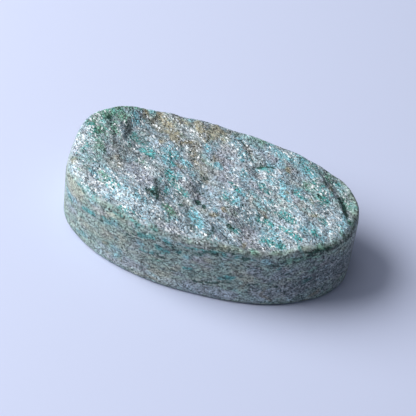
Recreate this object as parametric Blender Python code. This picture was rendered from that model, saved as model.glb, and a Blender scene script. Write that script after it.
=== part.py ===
"""A cut amazonite, 42 mm long: a flat-backed freeform oval.

The back is sawn flat, the edge is ground upright all round, and the top is left as the rock broke: humps,
hollows, ledges and a valley, with a knobbly grain that runs along the layers of the rock.
The frame is metres, +Z up, with X along the stone and the origin on the back, at the middle of its box.
"""

import math

import bmesh
import bpy
from mathutils import Matrix, Vector, noise

MM = 0.001

# The outline of the ground edge, in millimetres, anticlockwise from the right-hand tip.
OUTLINE = (
    (20.9, 1.8), (19.6, 6.6), (15.0, 10.2), (7.6, 12.0),
    (-1.0, 12.3), (-10.0, 11.1), (-17.0, 8.5), (-20.6, 3.9),
    (-20.5, -2.3), (-18.3, -7.2), (-12.2, -11.0), (-4.0, -12.5),
    (4.5, -11.8), (12.5, -9.5), (18.2, -5.4), (20.6, -1.5),
)
STEPS_PER_SPAN = 20

# Driving dimensions, in millimetres.
THICKNESS = 9.75
BACK_EDGE_ROUND = 0.35
SHOULDER_ROUND = 0.60
EDGE_WAVE = 0.05
EDGE_WAVE_LENGTH = 6.0
EDGE_WAVE_REACH = 20.0

# Where the shoulder between edge and top is rounder than elsewhere: middle x, middle y, reach, and what it
# adds to the radius.
SOFT_SHOULDERS = (
    (-8.0, -11.5, 7.0, 1.05), (-20.4, -3.2, 4.2, 1.30), (20.2, 1.5, 5.0, 0.60), (18.5, -5.5, 5.0, 0.60),
)

# The mesh: cells along and across the top, rows down the edge, and how much closer the cells lie at the rim.
CELLS_LONG = 72
CELLS_ACROSS = 40
EDGE_ROWS = 4
RIM_CROWDING = 1.2
GRID_RELAXING = 8
BACK_RING = 1.0

# The forms of the broken face, in millimetres: middle x, middle y, half-length, half-width, turn in degrees
# anticlockwise from +X, and height, below zero for a hollow.
FORMS = (
    (-18.9, 4.6, 4.6, 3.6, 72, 1.10),
    (-15.4, 8.6, 2.6, 1.6, 20, 0.70),
    (-11.5, 9.6, 6.5, 1.3, 10, 0.40),
    (-12.6, 4.4, 3.0, 2.4, 103, -0.40),
    (-12.2, 7.4, 1.9, 1.1, -28, -0.50),
    (-9.0, 5.0, 4.2, 2.2, 10, 0.35),
    (-16.0, -1.0, 3.2, 1.6, 60, 0.20),
    (-12.0, -0.6, 2.0, 1.2, -20, -0.22),
    (-12.2, -6.2, 4.6, 2.4, -12, 0.50),
    (-8.6, -1.3, 1.8, 1.0, -40, 0.18),
    (-4.2, -4.4, 3.0, 2.2, -60, -0.32),
    (-2.2, -1.4, 3.2, 1.3, 92, 0.26),
    (-0.5, -3.7, 2.0, 1.2, -60, -0.15),
    (-0.9, 0.6, 1.6, 1.0, 40, -0.40),
    (-3.2, -8.6, 2.4, 1.2, -20, 0.25),
    (2.4, 8.4, 2.6, 1.0, -58, -0.28),
    (0.2, 9.4, 2.2, 1.2, -50, 0.12),
    (4.9, 5.2, 1.9, 1.0, -65, -0.42),
    (-4.0, 3.0, 2.6, 1.4, -30, -0.25),
    (2.5, 1.2, 3.4, 1.5, -35, 0.20),
    (7.6, -4.4, 3.4, 1.6, -25, -0.45),
    (3.6, -8.6, 1.6, 1.0, 70, -0.14),
    (9.5, 9.8, 3.4, 1.4, -20, 0.25),
    (11.5, 3.0, 3.4, 1.8, -35, 0.15),
    (15.5, -3.2, 3.6, 2.2, 40, 0.25),
)

# Ledges: the ends of each break, how far its drop reaches behind it, and the drop. The low side is on the
# left when looking from the first end to the second, or on the right where the reach is below zero.
LEDGE_RISE = 0.55
LEDGE_FADE = 0.35
LEDGES = (
    ((4.2, 5.4), (7.4, 7.1), 1.3, 0.40),
    ((13.0, 8.9), (17.2, 5.4), 1.9, 0.50),
    ((17.2, 5.4), (19.8, 0.9), 1.5, 0.45),
    ((-4.8, -7.0), (-6.1, -4.4), -2.4, 0.38),
    ((-0.9, -4.6), (-1.6, -1.6), -2.6, 0.38),
    ((-15.4, 5.9), (-14.8, 3.2), 3.0, 0.50),
)

# The grain of the break, in millimetres: wave length along the layers, wave length across them, and height.
# Near the rim the grain is flatter.
GRAIN_TURN = -33.0
GRAIN = ((7.0, 3.8, 0.34), (3.8, 2.4, 0.30), (2.4, 1.8, 0.18))
GRAIN_SPACING = 3.7
GRAIN_AT_RIM = 0.25

STONE_COLOR = (0.36, 0.43, 0.42)
STONE_ROUGHNESS = 0.55
SMOOTH_UP_TO = 40.0


def clear_scene():
    for obj in list(bpy.data.objects):
        bpy.data.objects.remove(obj)


def spline_point(before, start, end, after, t):
    """The point at t, from 0 to 1, on the smooth curve from start to end."""
    return 0.5 * (
        2 * start
        + (end - before) * t
        + (2 * before - 5 * start + 4 * end - after) * t * t
        + (3 * start - before - 3 * end + after) * t**3
    )


def dense_outline():
    """The outline as a closed run of close points, its box centred on the origin."""
    corners = [Vector(corner) for corner in OUTLINE]
    count = len(corners)
    points = []
    for i in range(count):
        near = [corners[(i + step) % count] for step in (-1, 0, 1, 2)]
        points += [spline_point(*near, step / STEPS_PER_SPAN) for step in range(STEPS_PER_SPAN)]
    xs, ys = [p.x for p in points], [p.y for p in points]
    middle = Vector((min(xs) + max(xs), min(ys) + max(ys))) / 2
    return [p - middle for p in points]


class Outline:
    """The ground edge seen from above: evenly spaced places along it, and the distance in from it."""

    def __init__(self):
        self.points = dense_outline()
        self.lengths = [0.0]
        for a, b in zip(self.points, self.points[1:] + self.points[:1]):
            self.lengths.append(self.lengths[-1] + (b - a).length)

    def at(self, share):
        """The place after that share of the way round, from the right-hand tip."""
        wanted = (share % 1.0) * self.lengths[-1]
        low, high = 0, len(self.points)
        while high - low > 1:
            half = (low + high) // 2
            if self.lengths[half] <= wanted:
                low = half
            else:
                high = half
        span = self.lengths[low + 1] - self.lengths[low]
        a, b = self.points[low], self.points[(low + 1) % len(self.points)]
        return a.lerp(b, (wanted - self.lengths[low]) / span)

    def inward(self, place):
        """How far a place lies in from the outline."""
        return min((place - p).length for p in self.points)


def grid_place(column, row):
    """(ring, share) of a cell corner: how far out it lies, from 0 to 1, and its share of the way round."""
    along, across = column / CELLS_LONG * 2 - 1, row / CELLS_ACROSS * 2 - 1
    ring = max(abs(along), abs(across))
    if ring == 0:
        return 0.0, 0.0
    along, across = along / ring, across / ring
    half_round = CELLS_LONG + CELLS_ACROSS
    if abs(along) >= abs(across):
        share = across * CELLS_ACROSS / 2 if along > 0 else half_round - across * CELLS_ACROSS / 2
    else:
        side = CELLS_ACROSS / 2 + (1 - along) * CELLS_LONG / 2
        share = side if across > 0 else -side
    return ring, share / (2 * half_round)


def form_height(x, y):
    """The humps and hollows together at a place."""
    total = 0.0
    for middle_x, middle_y, half_length, half_width, turn, height in FORMS:
        angle = math.radians(turn)
        dx, dy = x - middle_x, y - middle_y
        along = (dx * math.cos(angle) + dy * math.sin(angle)) / half_length
        across = (dy * math.cos(angle) - dx * math.sin(angle)) / half_width
        total += height * math.exp(-(along * along + across * across))
    return total


def ledge_drop(x, y):
    """How far the ledges drop a place: steeply at the break, and fading behind it."""
    total = 0.0
    place = Vector((x, y))
    for first, second, reach, drop in LEDGES:
        start, run = Vector(first), Vector(second) - Vector(first)
        share = (place - start).dot(run) / run.length_squared
        behind = run.cross(place - start) / run.length * math.copysign(1, reach)
        if behind <= 0 or not -LEDGE_FADE < share < 1 + LEDGE_FADE:
            continue
        ends = min(1.0, (LEDGE_FADE + share) / LEDGE_FADE, (1 + LEDGE_FADE - share) / LEDGE_FADE)
        total += drop * ends * min(1.0, behind / LEDGE_RISE) * math.exp(-((behind / reach) ** 2))
    return total


def grain_height(x, y):
    """The knobbly grain, longer along the layers than across them."""
    turn = Matrix.Rotation(math.radians(-GRAIN_TURN), 2)
    along, across = turn @ Vector((x, y))
    total = 0.0
    for octave, (length, width, height) in enumerate(GRAIN):
        total += height * noise.noise(Vector((along / length, across / width, GRAIN_SPACING * octave)))
    return total


def shoulder_round(x, y):
    """The radius between the edge and the top at a place."""
    radius = SHOULDER_ROUND
    for middle_x, middle_y, reach, extra in SOFT_SHOULDERS:
        radius += extra * math.exp(-((x - middle_x) ** 2 + (y - middle_y) ** 2) / reach**2)
    return radius


def top_height(place, inward):
    """The height of the top over the back at a place that lies that far in from the outline."""
    radius = shoulder_round(*place)
    left = max(0.0, radius - inward)
    rounding = radius - math.sqrt(radius * radius - left * left)
    knobbly = min(1.0, GRAIN_AT_RIM + inward / radius)
    rough = form_height(*place) - ledge_drop(*place) + grain_height(*place) * knobbly
    return THICKNESS + rough - rounding


def edge_wave(place):
    """How far hand grinding left the edge in or out of its outline."""
    return EDGE_WAVE * noise.noise(Vector((place.x, place.y, 0.0)) / EDGE_WAVE_LENGTH)


def shape_top(mesh, outline):
    """The broken face: a grid bent to the outline and raised to its heights. Returns the edges of its rim."""
    bmesh.ops.create_grid(mesh, x_segments=CELLS_LONG, y_segments=CELLS_ACROSS, size=1.0)
    for vert in mesh.verts:
        column = round((vert.co.x + 1) / 2 * CELLS_LONG)
        row = round((vert.co.y + 1) / 2 * CELLS_ACROSS)
        ring, share = grid_place(column, row)
        out = 1 - (1 - ring) ** RIM_CROWDING
        vert.co = (*outline.at(share) * out * MM, 0.0)
    inner = [vert for vert in mesh.verts if not vert.is_boundary]
    for _ in range(GRID_RELAXING):
        bmesh.ops.smooth_vert(
            mesh, verts=inner, factor=0.5, use_axis_x=True, use_axis_y=True, use_axis_z=True
        )
    for vert in mesh.verts:
        place = vert.co.xy / MM
        inward = 0.0 if vert.is_boundary else outline.inward(place)
        vert.co.z = top_height(place, inward) * MM
    return [edge for edge in mesh.edges if edge.is_boundary]


def shape_edge(mesh, rim):
    """The ground edge: the rim carried down to the back in even rows."""
    heights = {}
    for vert in {v for edge in rim for v in edge.verts}:
        heights[(vert.co.x, vert.co.y)] = vert.co.z
    loop = rim
    for row in range(1, EDGE_ROWS + 1):
        made = bmesh.ops.extrude_edge_only(mesh, edges=loop)["geom"]
        for vert in (item for item in made if isinstance(item, bmesh.types.BMVert)):
            vert.co.z = heights[(vert.co.x, vert.co.y)] * (1 - row / EDGE_ROWS)
        loop = [item for item in made if isinstance(item, bmesh.types.BMEdge) and item.is_boundary]
    return loop


def close_back(mesh, loop):
    """The sawn back: one flat face inside a flat ring, with its edge eased."""
    back = bmesh.ops.contextual_create(mesh, geom=loop)["faces"]
    bmesh.ops.recalc_face_normals(mesh, faces=mesh.faces)
    bmesh.ops.bevel(
        mesh, geom=list(back[0].edges), offset=BACK_EDGE_ROUND * MM, offset_type="OFFSET",
        affect="EDGES", segments=2, profile=0.5, material=-1,
    )
    widest = max(mesh.faces, key=lambda face: face.calc_area())
    bmesh.ops.inset_individual(mesh, faces=[widest], thickness=BACK_RING * MM, use_even_offset=True)


def stone_material():
    material = bpy.data.materials.new("amazonite")
    material.use_nodes = True
    shader = material.node_tree.nodes["Principled BSDF"]
    shader.inputs["Base Color"].default_value = (*STONE_COLOR, 1.0)
    shader.inputs["Roughness"].default_value = STONE_ROUGHNESS
    shader.inputs["Metallic"].default_value = 0.0
    return material


def build_stone():
    outline = Outline()
    mesh = bmesh.new()
    rim = shape_top(mesh, outline)
    loop = shape_edge(mesh, rim)
    close_back(mesh, loop)
    for vert in mesh.verts:
        place = vert.co.xy / MM
        vert.co.xy += place / EDGE_WAVE_REACH * edge_wave(place) * MM
    data = bpy.data.meshes.new("amazonite_stone")
    mesh.to_mesh(data)
    mesh.free()
    data.shade_smooth()
    data.set_sharp_from_angle(angle=math.radians(SMOOTH_UP_TO))
    data.materials.append(stone_material())
    stone = bpy.data.objects.new("amazonite_stone", data)
    bpy.context.scene.collection.objects.link(stone)
    return stone


clear_scene()
build_stone()
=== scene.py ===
"""A cut amazonite on a pale table: its broken top and ground edge in full detail, with light and camera."""

import math

import bmesh
import bpy
import numpy as np
from mathutils import Matrix, Vector, kdtree, noise


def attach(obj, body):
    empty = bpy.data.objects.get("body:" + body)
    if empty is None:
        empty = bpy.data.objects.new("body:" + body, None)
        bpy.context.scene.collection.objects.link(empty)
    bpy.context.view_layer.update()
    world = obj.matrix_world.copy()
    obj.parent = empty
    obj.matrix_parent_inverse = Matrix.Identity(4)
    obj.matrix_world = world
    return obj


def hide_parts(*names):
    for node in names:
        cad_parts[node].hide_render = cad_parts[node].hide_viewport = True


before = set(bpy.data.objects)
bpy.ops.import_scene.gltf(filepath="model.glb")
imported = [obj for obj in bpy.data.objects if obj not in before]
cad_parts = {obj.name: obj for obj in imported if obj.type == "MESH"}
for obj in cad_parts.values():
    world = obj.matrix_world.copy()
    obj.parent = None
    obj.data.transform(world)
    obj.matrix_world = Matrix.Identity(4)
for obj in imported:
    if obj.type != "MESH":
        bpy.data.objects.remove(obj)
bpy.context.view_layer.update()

MM = 0.001

# The layers of the rock run along this direction on the top, and lie nearly flat in the edge.
LAYER_TURN = math.radians(-33)
LAYER_DIP = math.radians(3)

# The net of faces, in millimetres: rows round the edge, squares on the back, finer cuts of the top.
EDGE_ROW = 0.34
EDGE_ROWS_TO = 7.7
BACK_NET = 2.4
BACK_CUTS = 9
CUTS = 3
SMOOTHINGS = 5
SMOOTHING = 0.5

# How near two points or two heights count as one, in millimetres, and which normals look down or up.
MERGE_SLACK = 0.001
LEVEL_SLACK = 0.0005
CUT_SLACK = 0.0001
BACK_SLACK = 0.01
FLAT_DOWN = -0.9999
LOOKS_UP = 0.03

# The ground band between the edge and the broken face, and where it is wider: middle, reach and
# extra width.
GROUND_BAND = 0.20
WIDER_BANDS = (
    (-8.0, -11.5, 8.0, 0.75),
    (19.5, 5.5, 5.0, 1.1),
    (6.0, -11.0, 8.0, 0.9),
    (17.5, -6.0, 6.0, 0.8),
    (-18.5, 5.5, 6.0, -0.5),
)
BAND_WANDER = 0.55
BAND_WANDER_LENGTH = 1.6
BAND_FADE = 1.0

# Points between these heights, in millimetres, show where the ground edge stands.
FOOT = (3, 4)

# How steeply the surface must face up to be broken or to be the top, and down to be the back: from and to.
BROKEN_FACES = (0.2, 0.5)
TOP_FACES = (0.15, 0.6)
BACK_FACES = (0.5, 0.9)

# Crystals of the broken face, in millimetres: size along the layers, across them and upright, then rise,
# tilt and groove. Each draws its rise and tilt at its own middle, scaled up so that no two draw the same.
CHUNKS = ((1.7, 0.95, 1.2), 0.06, 0.05, 0.02)
CRYSTALS = ((0.50, 0.36, 0.45), 0.07, 0.11, 0.03)
GROOVE_WIDTH = 0.25
DRAW_SCALE = 31.7
FINE_RISE = 0.05
FINE_SIZE = 0.22

# The layers bend by so much over such a length, the same way in every run.
BEND = 0.35
BEND_LENGTH = 2.3
BEND_SEED = 5

# Shallow pits in the ground edge, above where it meets the back.
PIT_DEPTH = 0.012
PIT_SIZE = 0.35
PITS_FROM = 0.4

# Cracks and valleys, in millimetres: the line in x and y, half-width and depth.
CRACKS = (
    (((0.4, 10.5), (1.6, 9.4), (2.6, 8.4), (3.5, 7.3)), 0.22, 0.16),
    (((4.2, 6.9), (5.0, 7.2), (5.8, 7.6), (6.8, 7.9)), 0.25, 0.24),
    (((2.4, 1.5), (3.6, 0.6), (5.2, -0.5)), 0.24, 0.07),
    (((13.2, 8.9), (15.4, 7.0), (17.5, 5.2), (18.8, 3.6), (19.6, 1.6)), 0.34, 0.15),
    (((-6.6, -2.3), (-6.7, -3.6), (-6.1, -4.9)), 0.22, 0.08),
    (((-14.6, 5.2), (-14.5, 4.2), (-14.3, 2.8)), 0.40, 0.10),
    (((-0.5, -3.7), (0.0, -4.3)), 0.30, 0.06),
    (((3.7, -7.8), (3.8, -9.4)), 0.22, 0.04),
)

# Colour marks on the top: the line in x and y, half-width and strength.
TOP_MARKS = {
    "green": (
        (((-19.5, 2.6), (-17.9, 2.2)), 0.9, 1.0),
        (((-19.2, 4.0), (-18.4, 6.6)), 1.4, 0.85),
        (((-17.6, 6.9), (-15.8, 6.0)), 1.4, 0.65),
        (((-16.6, 8.6), (-14.6, 9.6)), 1.4, 0.65),
        (((-17.0, 4.6), (-16.4, 2.0)), 1.3, 0.50),
        (((-17.6, -0.4), (-16.4, -3.2)), 1.8, 0.42),
        (((-18.8, 1.2), (-18.2, 0.6)), 0.5, 0.5),
        (((-17.1, -6.3), (-16.9, -6.5)), 0.35, 0.7),
        (((-14.2, -5.5), (-13.2, -6.2)), 0.6, 0.8),
        (((-11.0, -0.3), (-10.0, -0.5)), 0.5, 0.6),
        (((-3.8, -7.0), (-2.4, -9.0)), 0.9, 0.55),
        (((-6.8, 7.0), (-6.0, 6.4)), 0.7, 0.4),
        (((11.2, 10.4), (12.6, 9.6)), 1.0, 0.5),
        (((9.5, 11.0), (13.6, 9.4), (17.0, 7.0), (19.4, 4.6), (20.3, 2.0)), 1.0, 0.36),
        (((12.4, 6.8), (15.6, 4.4)), 1.8, 0.45),
        (((9.0, -10.2), (12.2, -8.9), (17.7, -5.2)), 0.7, 0.24),
        (((19.4, 0.6), (19.6, -2.6), (17.0, -6.4)), 1.1, 0.32),
        (((10.8, 4.6), (12.0, 5.2)), 0.9, 0.35),
        (((0.4, 12.0), (3.2, 11.2)), 0.9, 0.40),
        (((-18.4, 5.4), (-17.8, 2.6)), 0.8, 0.45),
        (((-13.8, -6.8), (-13.2, -7.2)), 0.4, 0.80),
    ),
    "deep": (
        (((-17.85, 5.1), (-17.8, 4.6)), 0.40, 0.84),
        (((-18.3, 1.3), (-17.9, 1.2)), 0.30, 0.59),
        (((-6.8, -2.8), (-6.9, -3.9)), 0.26, 0.46),
        (((-6.1, -4.9), (-5.4, -6.4)), 0.35, 0.55),
        (((-7.2, -5.7), (-6.1, -5.9)), 0.32, 0.84),
        (((-0.4, -3.9), (-0.1, -4.4)), 0.42, 0.84),
        (((-2.3, -5.6), (-1.9, -5.8)), 0.28, 0.76),
        (((0.7, -4.3), (1.15, -5.2)), 0.28, 0.84),
        (((4.5, 6.5), (5.4, 7.2), (6.6, 7.3)), 0.28, 0.84),
        (((5.3, -6.5), (5.8, -6.9)), 0.36, 0.84),
        (((3.7, -8.0), (3.9, -9.8)), 0.34, 0.59),
        (((4.3, -0.7), (4.9, -1.2), (5.7, -2.3)), 0.16, 0.51),
        (((13.8, 8.6), (14.2, 7.4)), 0.45, 0.51),
        (((16.9, 5.9), (17.6, 5.4), (18.1, 4.6), (18.8, 3.2)), 0.40, 0.81),
        (((19.6, 2.1), (19.9, 1.8)), 0.26, 0.84),
        (((14.0, 4.9), (14.4, 4.7)), 0.26, 0.76),
        (((18.9, -3.8), (17.4, -5.9), (15.2, -7.8)), 0.40, 0.59),
        (((-15.7, -1.2), (-15.4, -1.7)), 0.3, 0.42),
        (((12.8, -7.2), (13.1, -7.4)), 0.30, 0.51),
        (((-3.75, -6.8), (-3.6, -7.1)), 0.26, 0.59),
    ),
    "teal": (
        (((6.5, 3.0), (6.9, 2.2), (7.9, 2.2)), 0.5, 0.8),
        (((10.5, -0.9), (11.8, -1.2), (12.8, -1.9)), 0.62, 1.0),
        (((8.4, -3.1), (10.4, -3.5)), 0.55, 0.85),
        (((11.6, -3.6), (13.0, -3.9), (14.8, -4.9)), 0.50, 0.85),
        (((10.4, -6.7), (13.2, -7.2)), 0.65, 0.80),
        (((11.2, 3.9), (12.2, 3.0)), 0.55, 0.60),
        (((15.9, 0.6), (16.8, 0.2)), 0.55, 0.85),
        (((16.0, -2.4), (16.5, -3.0)), 0.50, 0.70),
        (((14.8, -5.6), (15.5, -6.8)), 0.35, 0.6),
        (((5.2, 6.7), (6.0, 6.3)), 0.5, 0.65),
        (((2.5, 1.2), (3.3, 0.6), (4.1, -0.1)), 0.24, 1.1),
        (((-5.2, -1.4), (-4.4, -2.2), (-2.3, -3.8)), 0.50, 0.75),
        (((-5.6, -1.6), (-5.0, -4.2)), 0.9, 0.50),
        (((-12.6, -6.9), (-11.2, -7.3)), 0.60, 1.0),
        (((-13.6, 4.2), (-11.6, 3.4)), 0.85, 0.62),
        (((-11.4, 2.0), (-9.6, 1.4)), 0.70, 0.60),
        (((-15.5, -8.6), (-12.0, -10.4), (-4.0, -11.9)), 0.8, 0.40),
        (((13.0, 6.8), (15.4, 4.4)), 0.7, 0.45),
        (((-9.2, -10.4), (-6.8, -10.8)), 0.4, 0.6),
        (((5.8, -6.9), (6.6, -7.2)), 0.5, 0.8),
        (((2.6, -1.6), (3.8, -2.1)), 0.45, 0.50),
        (((9.6, 9.6), (12.2, 8.6)), 1.0, 0.35),
        (((15.6, 8.7), (16.4, 8.4)), 0.5, 0.5),
        (((18.6, 5.5), (19.4, 5.2)), 0.5, 0.5),
        (((-7.4, 2.9), (-7.0, 2.6)), 0.4, 0.6),
        (((-13.6, 5.4), (-13.3, 2.2)), 0.8, 0.45),
        (((-19.4, 2.2), (-18.6, 0.2), (-18.2, -2.6)), 0.8, 0.48),
        (((4.0, -10.6), (5.4, -11.0)), 0.5, 0.50),
        (((-6.2, 2.2), (-6.0, -1.4), (-6.6, -5.4)), 0.7, 0.42),
        (((8.7, 0.8), (9.3, 0.2)), 0.5, 0.60),
        (((13.2, 6.8), (15.2, 6.2)), 0.8, 0.40),
    ),
    "turquoise": (
        (((-7.8, 3.3), (-6.6, 2.8)), 0.8, 1.0),
        (((-5.8, 3.0), (-4.4, 2.1)), 0.6, 0.85),
        (((-7.5, 1.6), (-6.5, 0.8)), 0.65, 0.9),
        (((-6.3, -0.7), (-4.9, -1.2)), 0.6, 0.95),
        (((-14.9, 7.4), (-14.6, 6.8)), 0.6, 0.7),
        (((-13.3, 9.7), (-12.9, 9.2)), 0.6, 0.6),
        (((-15.8, -5.7), (-15.4, -5.9)), 0.5, 0.7),
        (((-3.6, 6.6), (-3.2, 6.0)), 0.7, 0.6),
        (((-0.8, 4.0), (-0.2, 3.7)), 0.6, 0.7),
        (((-2.2, 11.6), (-1.4, 11.2)), 0.7, 0.30),
        (((0.2, -6.9), (2.0, -8.7)), 0.80, 0.85),
        (((1.7, 7.3), (2.0, 6.5)), 0.5, 0.8),
        (((3.1, 4.4), (3.4, 3.6)), 0.5, 0.8),
        (((6.9, 8.7), (7.9, 8.0)), 0.7, 0.6),
        (((8.4, 5.2), (9.3, 3.8)), 0.5, 0.7),
        (((9.5, 2.8), (10.9, 1.9)), 0.45, 0.8),
        (((8.1, 0.7), (9.3, -0.7)), 0.6, 0.9),
        (((4.1, 0.2), (5.4, -0.5)), 0.45, 0.8),
        (((13.0, -3.7), (14.9, -5.1)), 0.55, 0.8),
        (((4.9, -10.0), (5.2, -10.1)), 0.35, 0.8),
        (((5.4, 10.6), (9.0, 10.0), (12.0, 8.4)), 1.6, 0.38),
        (((10.0, -4.6), (12.4, -6.2)), 0.9, 0.5),
        (((4.0, 6.0), (10.0, 2.0), (16.0, -3.0)), 5.0, 0.20),
        (((-16.0, -5.0), (-6.0, -8.4)), 2.6, 0.26),
        (((4.2, -2.0), (2.4, -1.4)), 0.9, 0.45),
    ),
    "ochre": (
        (((-12.8, 9.0), (-10.8, 8.5), (-9.6, 7.4)), 1.4, 0.85),
        (((-8.4, 7.0), (-8.1, 5.8)), 0.9, 0.95),
        (((-3.8, 10.6), (-3.5, 9.0)), 1.1, 1.0),
        (((-6.6, 10.5), (-5.5, 9.6)), 0.7, 0.75),
        (((-9.6, 9.6), (-5.0, 10.6), (-1.0, 11.4)), 1.0, 0.50),
        (((-6.6, 5.6), (-5.6, 6.6)), 0.5, 0.70),
        (((-9.5, 4.5), (-9.3, 4.1)), 0.35, 0.8),
        (((3.4, -4.1), (3.7, -4.4)), 0.34, 1.0),
        (((3.2, -5.5), (2.5, -6.1)), 0.34, 1.0),
        (((14.5, 0.5), (15.4, 0.7)), 0.42, 1.1),
        (((9.0, -2.5), (9.3, -2.6)), 0.30, 0.9),
        (((9.9, 3.2), (10.2, 2.9)), 0.30, 0.8),
        (((13.6, 3.2), (13.9, 2.8)), 0.40, 0.6),
        (((8.4, 7.6), (8.7, 7.2)), 0.40, 0.7),
        (((15.1, 7.8), (15.3, 6.8)), 0.36, 0.8),
        (((8.5, -8.6), (8.6, -9.6)), 0.36, 0.8),
        (((-18.8, -4.6), (-18.4, -5.2)), 0.5, 0.30),
        (((2.8, 8.2), (3.1, 7.5)), 0.32, 0.8),
        (((-2.6, 10.8), (-1.2, 8.4)), 0.9, 0.60),
        (((-9.2, 5.4), (-8.6, 4.6)), 0.6, 0.50),
        (((-4.9, 8.4), (-4.0, 7.6)), 0.7, 0.60),
        (((-1.8, 5.4), (-1.2, 4.6)), 0.5, 0.50),
    ),
    "brown": (
        (((-5.9, 1.4), (-5.0, 1.2)), 0.55, 0.9),
        (((-13.4, -1.4), (-12.6, -2.6)), 0.9, 0.70),
        (((-12.6, 3.0), (-12.0, 1.0)), 1.2, 0.45),
        (((-13.8, 8.7), (-12.3, 8.3)), 0.5, 0.90),
        (((-4.4, 3.7), (-2.6, 3.0)), 0.6, 0.65),
        (((-5.6, 6.6), (-3.0, 4.6)), 1.3, 0.42),
        (((-4.0, 4.0), (-1.6, 0.6)), 1.4, 0.42),
        (((0.4, 10.4), (1.2, 9.6), (2.4, 8.6)), 0.45, 0.70),
        (((-12.9, 1.6), (-12.0, 0.4)), 0.8, 0.50),
        (((6.4, -0.8), (8.6, -1.9)), 0.9, 0.52),
    ),
    # dark: partly darker rock and partly painted shade, mostly on slopes turned from the lamp behind the
    # humps at the left and along the right end.
    "dark": (
        (((-14.8, 5.4), (-14.5, 4.0), (-14.2, 2.7)), 0.40, 0.95),
        (((-15.4, 6.2), (-15.0, 5.2)), 0.7, 0.60),
        (((-13.6, 8.4), (-11.6, 7.4)), 0.9, 0.50),
        (((-16.2, 2.9), (-15.5, 2.0), (-14.8, 0.6)), 0.35, 0.8),
        (((-13.8, 8.6), (-13.2, 7.7)), 0.5, 0.7),
        (((-11.9, 7.8), (-10.8, 6.6)), 0.40, 0.65),
        (((-9.5, 3.6), (-9.2, 3.1)), 0.28, 0.8),
        (((-9.2, 2.2), (-9.0, 2.0)), 0.25, 0.8),
        (((-12.9, 0.8), (-12.2, 0.5)), 0.35, 0.6),
        (((-6.6, -3.6), (-5.9, -5.2), (-5.0, -5.9)), 0.6, 0.8),
        (((-2.8, -1.8), (-1.4, -3.1)), 0.65, 0.75),
        (((-1.3, 0.9), (-1.1, 0.7)), 0.30, 0.9),
        (((4.0, 6.1), (4.9, 5.1), (5.4, 4.0)), 0.42, 0.80),
        (((6.8, -3.4), (8.6, -4.9)), 0.9, 0.46),
        (((7.4, -2.9), (9.2, -2.7)), 0.24, 0.9),
        (((5.7, -5.2), (9.0, -5.6)), 0.5, 0.50),
        (((0.3, 10.5), (1.6, 9.5), (2.7, 8.4)), 0.30, 0.7),
        (((14.0, 8.8), (17.4, 6.2), (19.2, 3.2)), 0.9, 0.45),
        (((20.3, 3.4), (20.6, 0.6), (19.9, -2.6), (18.0, -5.6)), 0.9, 0.75),
        (((-11.0, -10.9), (-4.0, -11.9), (4.4, -11.4), (12.2, -9.2)), 0.6, 0.40),
        (((-12.9, 7.8), (-11.8, 4.8), (-11.4, 2.4)), 1.1, 0.46),
        (((-13.7, 3.8), (-12.2, 1.8)), 0.8, 0.58),
        (((-12.4, 0.8), (-10.8, 0.4), (-10.2, -1.3)), 0.8, 0.72),
        (((-2.0, -7.0), (0.4, -8.7)), 0.9, 0.42),
        (((-3.2, -2.2), (-2.9, -4.6)), 0.6, 0.60),
        (((-3.3, 3.9), (-2.7, 3.2)), 0.5, 0.65),
        (((-4.8, 8.3), (-4.2, 7.8)), 0.5, 0.45),
        (((-0.3, 8.2), (0.3, 11.4)), 0.7, 0.36),
        (((9.0, -3.8), (10.4, -4.4)), 0.5, 0.45),
        (((7.0, -10.4), (12.4, -8.1)), 0.8, 0.42),
        (((2.6, -10.2), (3.4, -10.2)), 0.5, 0.50),
        (((-13.8, -6.9), (-13.3, -7.1)), 0.35, 0.50),
        (((-12.4, -9.8), (-11.6, -10.3)), 0.5, 0.40),
        (((17.4, 7.0), (18.4, 5.6)), 0.7, 0.60),
        (((-12.2, 8.2), (-10.6, 7.4), (-10.4, 5.0)), 0.7, 0.55),
        (((-12.4, 8.4), (-11.7, 7.8)), 0.9, 0.95),
        (((-1.6, -5.6), (1.6, -9.8)), 1.0, 0.54),
        (((-3.0, -1.8), (-2.6, -4.0)), 0.8, 0.42),
        (((-4.6, 3.4), (-2.6, 3.6)), 0.7, 0.42),
        (((7.2, -4.0), (9.2, -4.0)), 0.7, 0.42),
        (((0.6, 9.6), (3.2, 7.9)), 0.6, 0.45),
        (((9.5, 11.4), (13.6, 10.2), (18.0, 6.8)), 0.7, 0.45),
    ),
    "lilac": (
        (((0.4, 5.6), (2.4, 1.4)), 1.7, 0.60),
        (((-3.8, -0.8), (-1.6, -3.0)), 0.9, 0.80),
        (((-10.4, -1.8), (-8.2, -3.2)), 1.6, 0.45),
        (((7.2, 5.4), (8.0, 4.0)), 0.8, 0.50),
        (((8.0, -6.6), (10.0, -9.0)), 1.2, 0.50),
        (((-5.4, 0.6), (-4.0, -0.4)), 0.7, 0.55),
        (((-1.0, 8.0), (0.8, 6.0)), 1.0, 0.45),
        (((5.4, 4.6), (5.6, 1.4)), 0.8, 0.40),
        (((5.4, -3.4), (5.6, -5.6)), 0.8, 0.45),
        (((-0.4, -0.6), (0.6, -1.4)), 0.7, 0.30),
        (((-5.0, -11.2), (5.0, -10.9)), 0.8, 0.45),
    ),
    "beige": (
        (((9.2, 1.7), (10.8, 0.4)), 0.7, 0.60),
        (((12.6, 1.9), (13.4, 1.2)), 0.7, 0.50),
        (((3.0, -2.6), (4.4, -4.0)), 0.9, 0.50),
        (((-11.6, 9.4), (-6.0, 8.4)), 1.5, 0.40),
        (((-5.0, 6.0), (-2.0, 2.0)), 2.2, 0.30),
    ),
    # white: pale grains, and partly painted highlight where the break faces the lamp and sparkles.
    "white": (
        (((-10.6, -8.0), (-9.8, -8.8)), 0.7, 0.90),
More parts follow.
